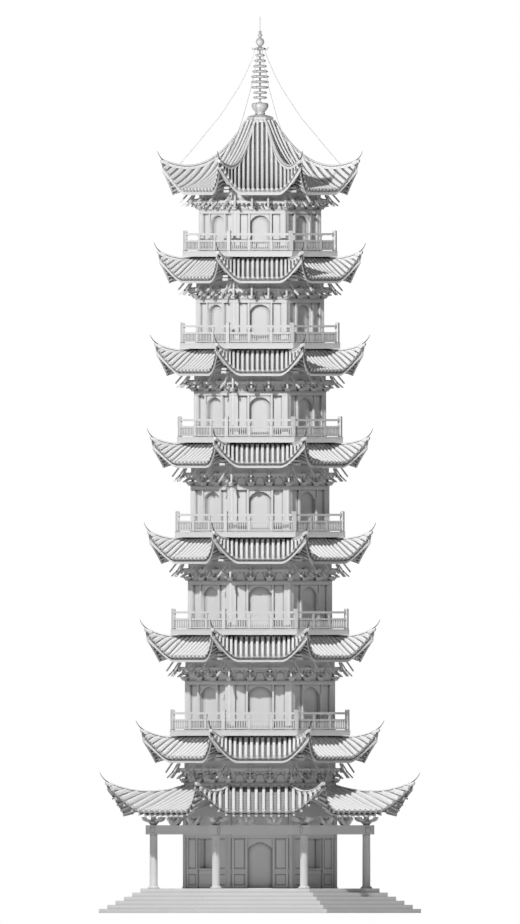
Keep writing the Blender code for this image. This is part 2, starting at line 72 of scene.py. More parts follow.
def material(name, light, dark, roughness, grain, bump, stretch=(1, 1, 1), metallic=0.0,
             reach=CREASE_SHADE_REACH, left=CREASE_SHADE_LEFT):
    """A matt finish with soft mottling, fine grain, slightly varied roughness and painted shade that
    darkens the colour in creases.
    """
    mat = bpy.data.materials.new(name)
    mat.use_nodes = True
    tree = mat.node_tree
    new, link = tree.nodes.new, tree.links.new
    shader = tree.nodes["Principled BSDF"]
    shader.inputs["Metallic"].default_value = metallic
    coords = new("ShaderNodeTexCoord")
    mapping = new("ShaderNodeMapping")
    mapping.inputs["Scale"].default_value = stretch
    link(coords.outputs["Object"], mapping.inputs["Vector"])
    mottle = new("ShaderNodeTexNoise")
    mottle.inputs["Scale"].default_value = 0.9
    mottle.inputs["Detail"].default_value = 5.0
    fine = new("ShaderNodeTexNoise")
    fine.inputs["Scale"].default_value = grain
    fine.inputs["Detail"].default_value = 6.0
    fine.inputs["Roughness"].default_value = 0.65
    for noise in (mottle, fine):
        link(mapping.outputs["Vector"], noise.inputs["Vector"])
    blend = new("ShaderNodeMath")
    blend.operation = "MULTIPLY_ADD"
    blend.inputs[1].default_value = 0.5
    half = new("ShaderNodeMath")
    half.operation = "MULTIPLY"
    half.inputs[1].default_value = 0.5
    link(fine.outputs["Fac"], half.inputs[0])
    link(mottle.outputs["Fac"], blend.inputs[0])
    link(half.outputs[0], blend.inputs[2])
    ramp = new("ShaderNodeValToRGB")
    ramp.color_ramp.elements[0].position = 0.30
    ramp.color_ramp.elements[0].color = (*dark, 1.0)
    ramp.color_ramp.elements[1].position = 0.70
    ramp.color_ramp.elements[1].color = (*light, 1.0)
    link(blend.outputs[0], ramp.inputs["Fac"])
    # Painted shade: the occlusion value scales the base colour down near creases and inner corners.
    crevice = new("ShaderNodeAmbientOcclusion")
    crevice.samples = 8
    crevice.inputs["Distance"].default_value = reach
    crease_shade = new("ShaderNodeMapRange")
    crease_shade.inputs["From Min"].default_value, crease_shade.inputs["From Max"].default_value = CREASE_SHADE_FROM
    crease_shade.inputs["To Min"].default_value = left
    link(crevice.outputs["AO"], crease_shade.inputs["Value"])
    darken = new("ShaderNodeVectorMath")
    darken.operation = "SCALE"
    link(ramp.outputs["Color"], darken.inputs[0])
    link(crease_shade.outputs["Result"], darken.inputs["Scale"])
    link(darken.outputs["Vector"], shader.inputs["Base Color"])
    rough = new("ShaderNodeMapRange")
    rough.inputs["To Min"].default_value = roughness - 0.06
    rough.inputs["To Max"].default_value = roughness + 0.06
    link(fine.outputs["Fac"], rough.inputs["Value"])
    link(rough.outputs["Result"], shader.inputs["Roughness"])
    relief = new("ShaderNodeBump")
    relief.inputs["Strength"].default_value = bump
    relief.inputs["Distance"].default_value = 0.01
    link(fine.outputs["Fac"], relief.inputs["Height"])
    link(relief.outputs["Normal"], shader.inputs["Normal"])
    return mat


# reach and left set how far the painted crease shade spreads and how dark it gets for each finish.
FINISH = {
    "stone": material("stone_dressed", (0.80, 0.80, 0.80), (0.76, 0.76, 0.76), 0.86, 14.0, 0.35,
                      left=0.60),
    "plaster": material("plaster_lime", (0.83, 0.83, 0.83), (0.79, 0.79, 0.79), 0.80, 9.0, 0.18,
                        left=0.15),
    "timber": material("timber_painted", (0.82, 0.82, 0.82), (0.77, 0.77, 0.77), 0.68, 8.0,
                       0.22, (3.0, 3.0, 0.6), left=0.18),
    # The door boards get wider, deeper painted crease shade.
    "board": material("timber_boards", (0.82, 0.82, 0.82), (0.77, 0.77, 0.77), 0.68, 8.0,
                      0.22, (3.0, 3.0, 0.6), reach=0.28, left=0.30),
    # Painted shade: a dark timber for the eave undersides and the band behind the balusters, where shade
    # falls.
    "shade": material("timber_dark_shade", (0.40, 0.40, 0.40), (0.32, 0.32, 0.32), 0.75, 8.0,
                      0.22, (3.0, 3.0, 0.6), left=0.30),
    "tile": material("tile_clay", (0.93, 0.93, 0.93), (0.88, 0.88, 0.88), 0.70, 11.0, 0.25),
    # Painted shade: the pans are the same clay as the cover tiles, darkened to stand in for the shade
    # between the ribs.
    "pan": material("tile_pan_shaded", (0.44, 0.44, 0.44), (0.35, 0.35, 0.35), 0.80, 11.0, 0.30,
                    left=0.30),
    # Painted shade: a dark finish for the thin horns, standing in for the shade on them.
    "horn_shade": material("horn_dark_shade", (0.20, 0.20, 0.20), (0.14, 0.14, 0.14), 0.60, 18.0, 0.15,
                     metallic=0.3),
    "metal": material("metal_cast", (0.82, 0.82, 0.82), (0.74, 0.74, 0.74), 0.52, 16.0, 0.12,
                      metallic=0.15),
}


# Mesh building


def turned(point, angle):
    c, s = math.cos(angle), math.sin(angle)
    x, y, z = point
    return (x * c - y * s, x * s + y * c, z)


def on_face(x, d, z):
    """A point of the front side: along it, out from the axis, and up."""
    return (x, -d, z)


def on_corner(x, r, z):
    """A point of the front side's right-hand corner: across it, out along it, and up."""
    return turned((x, -r, z), HALF_ANGLE)


class Shape:
    """Points and faces of one piece, collected on the front side and its corner."""

    def __init__(self):
        self.points, self.faces, self.sheets = [], [], []

    def add(self, points, faces, sheet=False):
        base = len(self.points)
        self.points += points
        kept = self.sheets if sheet else self.faces
        kept += [tuple(base + i for i in face) for face in faces]

    def prism(self, first, second):
        """A solid between two outlines that have the same number of points."""
        n = len(first)
        faces = [tuple(range(n)), tuple(range(n, 2 * n))]
        faces += [(i, (i + 1) % n, n + (i + 1) % n, n + i) for i in range(n)]
        self.add(list(first) + list(second), faces)

    def box(self, x, d, z, place=on_face, skew=0.0):
        """A block from its three ranges. skew moves its outer end up or down."""
        (x0, x1), (d0, d1), (z0, z1) = x, d, z
        inner = [place(a, d0, b) for a, b in ((x0, z0), (x1, z0), (x1, z1), (x0, z1))]
        outer = [place(a, d1, b + skew) for a, b in ((x0, z0), (x1, z0), (x1, z1), (x0, z1))]
        self.prism(inner, outer)

    def plate(self, outline, d, place=on_face):
        """An outline of (x, z) points with thickness along d."""
        self.prism([place(x, d[0], z) for x, z in outline],
                   [place(x, d[1], z) for x, z in outline])

    def profile(self, outline, x, place=on_face):
        """An outline of (d, z) points with thickness along x."""
        self.prism([place(x[0], d, z) for d, z in outline],
                   [place(x[1], d, z) for d, z in outline])

    def loft(self, rows, caps=True, loop=False):
        """Joins rows of points, each a closed outline."""
        n = len(rows[0])
        faces = []
        pairs = len(rows) if loop else len(rows) - 1
        for r in range(pairs):
            a, b = r * n, (r + 1) % len(rows) * n
            faces += [(a + i, a + (i + 1) % n, b + (i + 1) % n, b + i) for i in range(n)]
        if caps and not loop:
            last = (len(rows) - 1) * n
            faces += [tuple(range(n)), tuple(last + i for i in range(n))]
        self.add([p for row in rows for p in row], faces)

    def sheet(self, rows):
        """Joins rows of points into an open surface."""
        n = len(rows[0])
        faces = [(r * n + i, (r + 1) * n + i, (r + 1) * n + i + 1, r * n + i + 1)
                 for r in range(len(rows) - 1) for i in range(n - 1)]
        self.add([p for row in rows for p in row], faces, sheet=True)

    def turn(self, centre, profile, count=16, place=on_face):
        """A solid of revolution round an upright line at (x, d)."""
        rows = []
        for radius, z in profile:
            angles = (2 * math.pi * i / count for i in range(count))
            rows.append([place(centre[0] + radius * math.cos(a),
                               centre[1] + radius * math.sin(a), z) for a in angles])
        self.loft(rows)

    def tube(self, path, radius, count=6):
        """A round bar along a path of points."""
        rows = []
        for i, point in enumerate(path):
            ahead = Vector(path[min(i + 1, len(path) - 1)]) - Vector(path[max(i - 1, 0)])
            side = ahead.cross(Vector((0, 0, 1)))
            side = side.normalized() if side.length > 1e-6 else Vector((1, 0, 0))
            up = side.cross(ahead).normalized()
            size = radius[i] if isinstance(radius, (list, tuple)) else radius
            angles = (2 * math.pi * k / count for k in range(count))
            rows.append([tuple(Vector(point) + side * (size * math.cos(a))
                               + up * (size * math.sin(a))) for a in angles])
        self.loft(rows)

    def around(self, count=SIDES):
        """Repeats what is there round the tower."""
        points, faces, sheets = self.points, self.faces, self.sheets
        self.points, self.faces, self.sheets = [], [], []
        for side in range(count):
            angle = 2 * math.pi / count * side
            base = len(self.points)
            self.points += [turned(p, angle) for p in points]
            self.faces += [tuple(base + i for i in face) for face in faces]
            self.sheets += [tuple(base + i for i in face) for face in sheets]
        return self

    def finish(self, name, kind, replaces=(), body="tower", sharp=38):
        mesh = bpy.data.meshes.new(name)
        mesh.from_pydata(self.points, [], self.faces + self.sheets)
        bm = bmesh.new()
        bm.from_mesh(mesh)
        bm.faces.ensure_lookup_table()
        bmesh.ops.recalc_face_normals(bm, faces=bm.faces[:len(self.faces)])
        bm.to_mesh(mesh)
        bm.free()
        mesh.shade_smooth()
        mesh.set_sharp_from_angle(angle=math.radians(sharp))
        mesh.materials.append(FINISH[kind])
        piece = bpy.data.objects.new(name, mesh)
        bpy.context.scene.collection.objects.link(piece)
        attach(piece, body)
        if replaces:
            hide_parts(*replaces)
        return piece


# Tiled roofs


class Roof:
    """The curved surface of a roof's front side."""

    def __init__(self, storey, inner, inner_top, thick, lift, hollow=False):
        self.storey, self.inner, self.inner_top = storey, inner, inner_top
        self.thick, self.lift, self.hollow = thick, lift, hollow
        self.eave_top = storey.fascia + thick
        self.corner = storey.corner
        self.rise = storey.tip_height - storey.fascia - 0.69

    def limit(self, run):
        """How far the side reaches from its middle, at a share of the way to the eave."""
        return TAN_HALF * (self.inner + (self.corner - self.inner) * run)

    def bend(self, share):
        return max(0.0, (abs(share) - EAVE_STRAIGHT) / (1.0 - EAVE_STRAIGHT))

    def fall(self, run):
        """Share of the roof's height that is left at run."""
        left = max(0.0, 1 - run)
        return 0.72 * left ** 2.6 + 0.28 * left if self.hollow else left ** 1.2

    def at(self, share, run, up=0.0):
        s = self.storey
        bend = self.bend(share)
        outer = s.eave + (s.corner - s.eave) * bend ** 1.6
        d = self.inner + (outer - self.inner) * run
        z = self.eave_top + (self.inner_top - self.eave_top) * self.fall(run)
        z += self.rise * bend ** 1.6 * run ** self.lift
        return share * self.limit(run), d, z + up

    def over(self, x, run, up=0.0):
        limit = self.limit(run)
        share = max(-1.0, min(1.0, x / limit))
        return self.at(share, run, up)

    def start(self, x):
        """Share of the way out at which a line at x leaves the hip."""
        return max(0.0, (abs(x) / TAN_HALF - self.inner) / (self.corner - self.inner))

    def edge(self, share, inset, up):
        """A point of the eave, moved in and up from the surface's edge."""
        x, d, z = self.at(share, 1.0)
        scale = (d - inset) / d
        return x * scale, d - inset, z + up - 0.20 * self.bend(share) ** 3

    def hip(self, half):
        run = (half - self.inner) / (self.corner - self.inner)
        return self.at(1.0, min(1.0, run))[2]


def eave_shares(count=8):
    """Places along an eave, closer together where it bends."""
    bent = [EAVE_STRAIGHT + (1 - EAVE_STRAIGHT) * i / count for i in range(count + 1)]
    return [-s for s in reversed(bent)] + [-EAVE_STRAIGHT / 3, EAVE_STRAIGHT / 3] + bent


def rib_places(storey):
    """Ribs stand evenly in the middle of a side and closer together towards its corners."""
    reach = storey.corner * TAN_HALF
    places, x = [], storey.pitch / 2
    while x < reach - 0.05:
        places += [-x, x]
        closer = min(1.0, max(0.0, (x / reach - 0.36) / 0.50))
        x += storey.pitch * (1 - 0.44 * closer)
    return sorted(places)


RIB_SECTION = ((1.0, -1.4), (1.0, 0.62), (0.82, 1.12), (0.42, 1.42), (-0.42, 1.42),
               (-0.82, 1.12), (-1.0, 0.62), (-1.0, -1.4))


def add_ribs(shape, roof, radius):
    """Round cover tiles down the slope, each with a disc at the eave."""
    for x in rib_places(roof.storey):
        first = roof.start(x)
        steps = max(3, int(9 * (1 - first)) + 1)
        points = [Vector(roof.over(x, first + (1 - first) * i / steps)) for i in range(steps + 1)]
        rows = []
        for i, p in enumerate(points):
            slope = points[min(i + 1, steps)] - points[max(i - 1, 0)]
            out = Vector((0.0, -slope.z, slope.y)).normalized()
            rows.append([on_face(x + radius * u, p.y + radius * v * out.y,
                                 p.z + radius * v * out.z) for u, v in RIB_SECTION])
        shape.loft(rows)
        tip = points[-1]
        size = radius * min(1.12, 0.85 + 0.27 * (1 - abs(x) / roof.limit(1.0)) * 3)
        middle = tip.z + radius * 0.45
        disc = [(x + size * math.cos(a), middle + size * math.sin(a))
                for a in (2 * math.pi * k / 12 for k in range(12))]
        small = [(x + (u - x) * 0.72, middle + (z - middle) * 0.72) for u, z in disc]
        shape.plate(disc, (tip.y - 0.03, tip.y + 0.02))
        shape.plate(small, (tip.y + 0.02, tip.y + 0.034))


def add_pans(shape, roof, course, step=0.012, dip=0.03, sink=0.045):
    """Overlapping concave tiles between the ribs, and drip tiles at the eave."""
    ribs = rib_places(roof.storey)
    lines = [-roof.limit(1.0)] + ribs + [roof.limit(1.0)]
    length = math.hypot(roof.storey.eave - roof.inner, roof.inner_top - roof.eave_top)
    courses = max(4, int(length / course))
    for left, right in zip(lines, lines[1:]):
        middle = (left + right) / 2
        nearest = min(abs(left), abs(right)) if left * right > 0 else 0.0
        first = roof.start(nearest)
        rows = []
        for j in range(courses):
            a, b = j / courses, (j + 1) / courses
            if b <= first:
                continue
            for run, up in ((a, -sink), (b, step - sink)):
                rows.append([on_face(*roof.over(left, run, up)),
                             on_face(*roof.over(middle, run, up - dip)),
                             on_face(*roof.over(right, run, up))])
        if len(rows) > 1:
            shape.sheet(rows)
        if abs(left) > roof.limit(1.0) - 0.01 or abs(right) > roof.limit(1.0) - 0.01:
            continue
        add_drip(shape, roof, left, right)


def add_drip(shape, roof, left, right, drop=0.075):
    """The pointed lip at the end of a row of concave tiles."""
    outer, inner = [], []
    for k in range(7):
        share = k / 6
        x = left + (right - left) * share
        _, d, z = roof.over(x, 1.0)
        low = z - drop * (1 - abs(2 * share - 1) ** 1.5)
        outer.append((x, d + 0.012, low))
        inner.append((x, d - 0.012, low))
    for k in (6, 0):
        x = left + (right - left) * k / 6
        _, d, z = roof.over(x, 1.0)
        outer.append((x, d + 0.012, z + 0.03))
        inner.append((x, d - 0.012, z + 0.03))
    shape.prism([on_face(*p) for p in outer], [on_face(*p) for p in inner])


def add_core(shape, roof, soffit):
    """Closed body under the tiles, with the boarded underside."""
    shares = eave_shares(6)
    steps = 14 if roof.hollow else 6
    rows = [[on_face(*roof.at(s, 0.985 * i / steps, -0.12)) for s in shares]
            for i in range(steps + 1)]
    rows.append([on_face(*roof.edge(s, 0.06, -roof.thick + 0.10)) for s in shares])
    rows.append([on_face(*roof.edge(s, 0.22, -roof.thick + 0.06)) for s in shares])
    inner_row = rows[0]
    scale = roof.storey.wall / roof.inner
    low = [(x * scale, y * scale, soffit) for x, y, z in inner_row]
    rows.append(low)
    if roof.hollow:
        rows.append([(x, y, soffit) for x, y, z in inner_row])
    rows.append([(x, y, z) for x, y, z in inner_row])
    shape.sheet(rows)


def add_fascia(shape, roof, height, inset=0.05):
    """The board along the eave."""
    shares = eave_shares()
    low = -roof.thick
    outline = ((inset, low), (inset, low + height), (inset + 0.07, low + height),
               (inset + 0.07, low))
    shape.loft([[on_face(*roof.edge(s, i, u)) for i, u in outline] for s in shares], caps=True)


def soffit_at(roof, x, run, soffit):
    """Height of the underside at x, from the wall (run 0) to the eave (run 1)."""
    share = max(-1.0, min(1.0, x / roof.limit(run)))
    lift = roof.rise * roof.bend(share) ** 1.6 - 0.20 * roof.bend(share) ** 3
    outer = roof.storey.eave + (roof.corner - roof.storey.eave) * roof.bend(share) ** 1.6
    d = roof.inner + (outer - roof.inner) * run
    return d, soffit * (1 - run) + (roof.eave_top - roof.thick + 0.05 + lift) * run


def add_rafters(shape, roof, soffit, pitch, radius, square=False):
    """Rafters under the eave from the wall to the fascia."""
    x = pitch / 2
    places = []
    while x < roof.corner * TAN_HALF - 0.25:
        places += [-x, x]
        x += pitch
    for x in places:
        first = 0.82 if square else max(0.03, roof.start(x) + 0.03)
        last = 0.985 if square else 0.955
        ends = [soffit_at(roof, x, run, soffit) for run in (first, (first + last) / 2, last)]
        if square:
            for (d0, z0), (d1, z1) in zip(ends, ends[1:]):
                shape.box((x - radius, x + radius), (d0, d1 + 0.004),
                          (z0 - 2 * radius, z0), skew=z1 - z0)
        else:
            shape.tube([on_face(x, d, z - radius * 0.8) for d, z in ends], radius, count=6)


def hip_line(roof, height, begin=0.0):
    """Top of the hip ridge as (half width, height), and the curl on to the tip."""
    s = roof.storey
    first, last = roof.inner + begin, s.corner - 0.10
    body = []
    for i in range(17):
        half = first + (last - first) * i / 16
        grown = height * min(1.0, 0.25 + 0.5 * i) if roof.hollow else height
        body.append((half, roof.hip(half) + grown))
    (start, base), (end, peak) = body[-1], (s.tip, s.tip_height)
    middle = (start + 0.62 * (end - start), base + 0.32 * (peak - base))
    horn = []
    for i in range(1, 9):
        t = i / 8
        weights = ((1 - t) ** 2, 2 * t * (1 - t), t * t)
        horn.append(tuple(sum(w * p[k] for w, p in zip(weights, ((start, base), middle, (end, peak))))
                          for k in (0, 1)))
    return body, horn


HIP_LAYERS = (((-0.5, -9.0), (0.5, -9.0), (0.5, -0.085), (-0.5, -0.085)),
              ((-0.22, -0.09), (0.22, -0.09), (0.22, -0.050), (-0.22, -0.050)),
              ((-0.44, -0.056), (0.44, -0.056), (0.44, -0.020), (0.20, 0.0), (-0.20, 0.0),
               (-0.44, -0.020)))


def add_hip(shape, roof, height=0.135, width=0.15, begin=0.0):
    """Hip ridge with a base course, a groove and a rounded cap, down to its corner tile."""
    body, horn = hip_line(roof, height, begin)
    for layer in HIP_LAYERS:
        rows = []
        for half, top in body:
            foot = roof.hip(half) - 0.07
            rows.append([on_corner(x * width, half * TO_CORNER, foot if z < -1 else top + z)
                         for x, z in layer])
        shape.loft(rows)
    end, top = roof.corner, roof.hip(roof.corner)
    rows = []
    for half, size in ((end - 0.30, 1.0), (end - 0.02, 1.0), (end + 0.02, 0.8)):
        z = roof.hip(min(half, end))
        rows.append([on_corner(0.085 * size * math.cos(a), half * TO_CORNER,
                               z + 0.02 + 0.085 * size * math.sin(a))
                     for a in (2 * math.pi * k / 10 for k in range(10))])
    shape.loft(rows)
    curl = [body[-3], body[-2], body[-1]] + horn
    rows = []
    for i, (half, high) in enumerate(curl):
        t = i / (len(curl) - 1)
        wide, deep = 0.036 * (1 - 0.6 * t), 0.062 * (1 - 0.5 * t)
        rows.append([on_corner(x, half * TO_CORNER, high + z + 0.004) for x, z in
                     ((-wide, -deep), (wide, -deep), (wide, -0.2 * deep), (wide * 0.4, 0.0),
                      (-wide * 0.4, 0.0), (-wide, -0.2 * deep))])
    return rows


def add_horns(name, rows):
    """The thin curled horns at the corners, coloured dark as painted shade."""
    shape = Shape()
    shape.loft(rows)
    shape.around().finish(name + "_horns", "horn_shade")


def add_corner_beam(shape, roof, storey):
    """Two-tiered beam under the corner of the eave."""
    end = (storey.corner - 0.80) * TO_CORNER
    middle = storey.fascia + 0.27
    inner = storey.wall * TO_CORNER
    fall = 0.10
    for x, low, high, out in ((0.125, -0.155, -0.055, 0.03), (0.118, -0.008, 0.085, 0.0),
                              (0.08, -0.06, 0.0, -0.04)):
        shape.box((-x, x), (inner, end + out), (middle + low + fall, middle + high + fall),
                  place=on_corner, skew=-fall)
    outer = (storey.corner - 0.10) * TO_CORNER
    rise = roof.hip(storey.corner - 0.1) - roof.thick - middle - 0.12
    shape.box((-0.07, 0.07), (end - 0.4, outer), (middle + 0.03, middle + 0.15),
              place=on_corner, skew=rise)


def make_ring_roof(name, storey, inner_top, soffit_rise, thick, lift, replaces):
    roof = Roof(storey, storey.wall + 0.0003, inner_top, thick, lift)
    soffit = storey.fascia + soffit_rise
    is_skirt = storey is SKIRT
    tiles = Shape()
    add_ribs(tiles, roof, storey.pitch * (0.215 if is_skirt else 0.275))
    add_horns(name, add_hip(tiles, roof))
    tiles.around().finish(name + "_tiles", "tile", replaces)
    pans = Shape()
    add_pans(pans, roof, 0.30)
    # The pans get the darker pan finish: painted shade between the ribs.
    pans.around().finish(name + "_pans", "pan")
    core = Shape()
    add_core(core, roof, soffit)
    # The underside gets the dark shade finish: painted shade under the eave.
    core.around().finish(name + "_soffit", "shade")
    under = Shape()
    if is_skirt:
        add_rafters(under, roof, soffit, storey.pitch, 0.046, square=True)
    else:
        add_fascia(under, roof, 0.18)
        add_rafters(under, roof, soffit, 0.19, 0.036)
        add_corner_beam(under, roof, storey)
    under.around().finish(name + "_eaves", "timber")
    return roof


def make_top_roof():
    storey = STOREYS[-1]
    roof = Roof(storey, 0.60, 34.87, 0.24, 2.0, hollow=True)
    tiles = Shape()
    add_ribs(tiles, roof, storey.pitch * 0.275)
    add_horns("roof_7", add_hip(tiles, roof, begin=0.02))
    tiles.around().finish("roof_7_tiles", "tile", ["roof_7"])
    pans = Shape()
    add_pans(pans, roof, 0.34)
    # The pans get the darker pan finish: painted shade between the ribs.
    pans.around().finish("roof_7_pans", "pan")
    core = Shape()
    add_core(core, roof, storey.fascia + 0.45)
    # The underside gets the dark shade finish: painted shade under the eave.
    core.around().finish("roof_7_soffit", "shade")
    under = Shape()
    add_fascia(under, roof, 0.18)
    eaves = Roof(storey, storey.wall, storey.fascia + 0.6, 0.24, 1.4)
    add_rafters(under, eaves, storey.fascia + 0.45, 0.19, 0.036)
    add_corner_beam(under, roof, storey)
    under.around().finish("roof_7_eaves", "timber")


# Walls


def arch_points(half, springing, rise, steps=6):
    """Cusped arch from the right-hand springing over to the left."""
    right = []
    cusps = ((1.0, 0.0), (0.87, 0.03), (0.64, 0.43), (0.38, 0.686), (0.105, 0.905), (0.0, 1.0))
    depths = (0.0, 0.10, 0.10, 0.10, 0.0)
    for (x0, z0), (x1, z1), depth in zip(cusps, cusps[1:], depths):
        for k in range(steps):
            t = k / steps
            bulge = depth * math.sin(math.pi * t)
            nx, nz = z1 - z0, -(x1 - x0)
            size = math.hypot(nx, nz)
            right.append((half * (x0 + (x1 - x0) * t + bulge * nx / size),
                          springing + rise * (z0 + (z1 - z0) * t + bulge * nz / size)))
    return right + [(0.0, springing + rise)] + [(-x, z) for x, z in reversed(right)]


def plain_arch(half, springing, rise, count=18):
    """Arc from the right-hand springing over to the left."""
    radius = (half ** 2 + rise ** 2) / (2 * rise)
    middle = springing + rise - radius
    sweep = math.asin(half / radius)
    if rise > half:
        sweep = math.pi - sweep
    angles = (sweep * (1 - 2 * k / count) for k in range(count + 1))
    return [(radius * math.sin(a), middle + radius * math.cos(a)) for a in angles]


def add_arch_head(shape, half, springing, rise, top, d, outline_of=arch_points):
    """Board over the doorway with the arch cut in it."""
    curve = outline_of(half, springing, rise)
    middle = len(curve) // 2
    right = curve[:middle + 1]
    for flip in (1, -1):
        points = [(x * flip, z) for x, z in right]
        outline = points + [(0.0, top), (half * flip * 1.02, top), (half * flip * 1.02, springing)]
        n = len(points)
        front = [on_face(x, d[1], z) for x, z in points]
        back = [on_face(x, d[0], z) for x, z in points]
        front_top = [on_face(x, d[1], top) for x, z in points]
        back_top = [on_face(x, d[0], top) for x, z in points]
        faces = []
        for k in range(n - 1):
            faces.append((k, k + 1, 2 * n + k + 1, 2 * n + k))
            faces.append((n + k, n + k + 1, 3 * n + k + 1, 3 * n + k))
            faces.append((k, k + 1, n + k + 1, n + k))
        shape.add(front + back + front_top + back_top, faces)


def add_engaged_column(shape, half, low, high, radius):
    r = half * TO_CORNER - radius
    profile = [(radius * 1.25, low), (radius * 1.25, low + 0.05), (radius, low + 0.09),
               (radius, high)]
    shape.turn((0.0, r), profile, count=14, place=on_corner)


def make_upper_wall(index):
    """Wall of posts, recessed panels and arched doorways, with a dark band of painted shade at the foot of
    the side bays.
    """
    s = STOREYS[index - 1]
    span = s.face * TAN_HALF
    arch = 0.392 * span
    post = arch + 0.086
    flat = 0.80 * span
    front = s.wall + 0.05
    panel = s.wall - 0.075
    inner = s.wall - 0.45
    low = s.floor + 0.002
    lintel_low = s.lintel - 0.18
    top = (STOREYS[index].floor - 0.252) if index < 7 else s.fascia + 0.44
    shape, shade_band = Shape(), Shape()
    for flip in (1, -1):
        def side(a, b):
            return (a, b) if flip == 1 else (-b, -a)
        plan = [(arch, panel), (panel * TAN_HALF, panel), (inner * TAN_HALF, inner), (arch, inner)]
        plan = [(x * flip, d) for x, d in plan]
        shape.prism([on_face(x, d, low) for x, d in plan],
                    [on_face(x, d, lintel_low) for x, d in plan])
        shape.box(side(arch, post), (panel - 0.03, front), (low, lintel_low))
        shape.box(side(flat, span - 0.05), (panel - 0.03, front - 0.005), (low, lintel_low))
        # Painted shade: a dark band at the wall's foot, seen between the balusters.
        shade_band.box(side(post, flat), (panel - 0.02, panel + 0.02), (low, low + 0.40))
        shape.box(side(post, flat), (panel - 0.02, panel + 0.03), (lintel_low - 0.05, lintel_low))
    apex = lintel_low - 0.075
    rise = 0.34
    add_arch_head(shape, arch + 0.004, apex - rise, rise, lintel_low, (inner, front - 0.045),
                  plain_arch)
    shape.box((-arch, arch), (inner, front - 0.03), (low, low + 0.06))
    plan = [(-s.wall * TAN_HALF, s.wall), (s.wall * TAN_HALF, s.wall),
            (inner * TAN_HALF, inner), (-inner * TAN_HALF, inner)]
    shape.prism([on_face(x, d, lintel_low) for x, d in plan],
                [on_face(x, d, top) for x, d in plan])
    add_engaged_column(shape, s.face, low, s.lintel - 0.002, 0.098)
    shape.around().finish("wall_%d_framed" % index, "plaster", ["wall_%d" % index])
    shade_band.around().finish("wall_%d_plinth" % index, "shade")
    doors = Shape()
    depth = s.face - 0.25
    doors.box((-arch - 0.02, arch + 0.02), (depth - 0.06, depth), (low + 0.06, lintel_low - 0.03))
    doors.box((-arch + 0.001, arch - 0.001), (depth - 0.01, depth + 0.03), (low + 0.06, low + 0.15))
    doors.around().finish("doors_%d_boards" % index, "board", ["doors_%d" % index])


# Bracket sets


def add_lever(shape, x, start, end, height, place=on_face, width=0.066):
    """A slanting lever arm with a cut end, from start to end as (d, z)."""
    (d0, z0), (d1, z1) = start, end
    size = math.hypot(d1 - d0, z1 - z0)
    u, v = (d1 - d0) / size, (z1 - z0) / size
    h = height / 2
    shape.profile([(d0 - v * h, z0 + u * h), (d1 - v * h, z1 + u * h),
                   (d1 + u * 0.03, z1 + v * 0.03), (d1 + v * h * 0.8, z1 - u * h * 0.8),
                   (d0 + v * h, z0 - u * h)], (x - width / 2, x + width / 2), place)


def add_cup(shape, x, d, z, half, height, place=on_face, deep=None):
    """A square bearing block that narrows below."""
    deep = deep or half
    rows = []
    for share, size in ((0.0, 0.62), (0.45, 0.78), (0.50, 1.0), (1.0, 1.0)):
        rows.append([place(x + a * half * size, d + b * deep * size, z + height * share)
                     for a, b in ((-1, -1), (1, -1), (1, 1), (-1, 1))])
    shape.loft(rows)


def add_cross_arm(shape, x, d, z, half, height, width=0.07, place=on_face):
    """An arm along the wall with curved ends and a block on each."""
    outline = [(x - half, z + height), (x - half, z + height * 0.55), (x - half * 0.72, z + height * 0.12),
               (x - half * 0.45, z), (x + half * 0.45, z), (x + half * 0.72, z + height * 0.12),
               (x + half, z + height * 0.55), (x + half, z + height)]
    shape.plate(outline, (d - width / 2, d + width / 2), place)
    for flip in (-1, 1):
        add_cup(shape, x + flip * (half - 0.045), d, z + height, 0.05, 0.07, place)


def add_levers(shape, s, x, place, base):
    """Three slanting arms, one above another, from the wall out to the eave."""
    room = (s.fascia - s.lintel) / 0.78
    arms = (((-0.05, 0.44), (0.317, 0.165)), ((0.22, 0.60), (0.58, 0.195)),
            ((0.44, 0.90), (0.80, 0.406)))
    for (d0, z0), (d1, z1) in arms:
        add_lever(shape, x, (base + d0, s.lintel + z0 * room), (base + d1, s.lintel + z1 * room),
                  0.082, place, 0.085)
    shape.box((x - 0.04, x + 0.04), (base - 0.06, base + 0.27),
              (s.lintel + 0.50 * room, s.lintel + 0.58 * room), place)


def add_bowl(shape, s, x, place, base):
    """Seat of a bracket set: a bowl with raised horns, and the arm across it."""
    low = s.lintel + 0.002
    outline = [(x - 0.125, low), (x + 0.125, low), (x + 0.135, low + 0.06), (x + 0.185, low + 0.14),
               (x + 0.185, low + 0.20), (x + 0.12, low + 0.17), (x + 0.06, low + 0.15),
               (x - 0.06, low + 0.15), (x - 0.12, low + 0.17), (x - 0.185, low + 0.20),
               (x - 0.185, low + 0.14), (x - 0.135, low + 0.06)]
    shape.plate(outline, (base - 0.10, base + 0.09), place)
    for tier, half in ((0.29, 0.15), (0.43, 0.12)):
        shape.box((x - half, x + half), (base - 0.02, base + 0.06),
                  (low + tier, low + tier + 0.075), place)


def add_set(shape, s, x):
    add_bowl(shape, s, x, on_face, s.face)
    add_levers(shape, s, x, on_face, s.face)


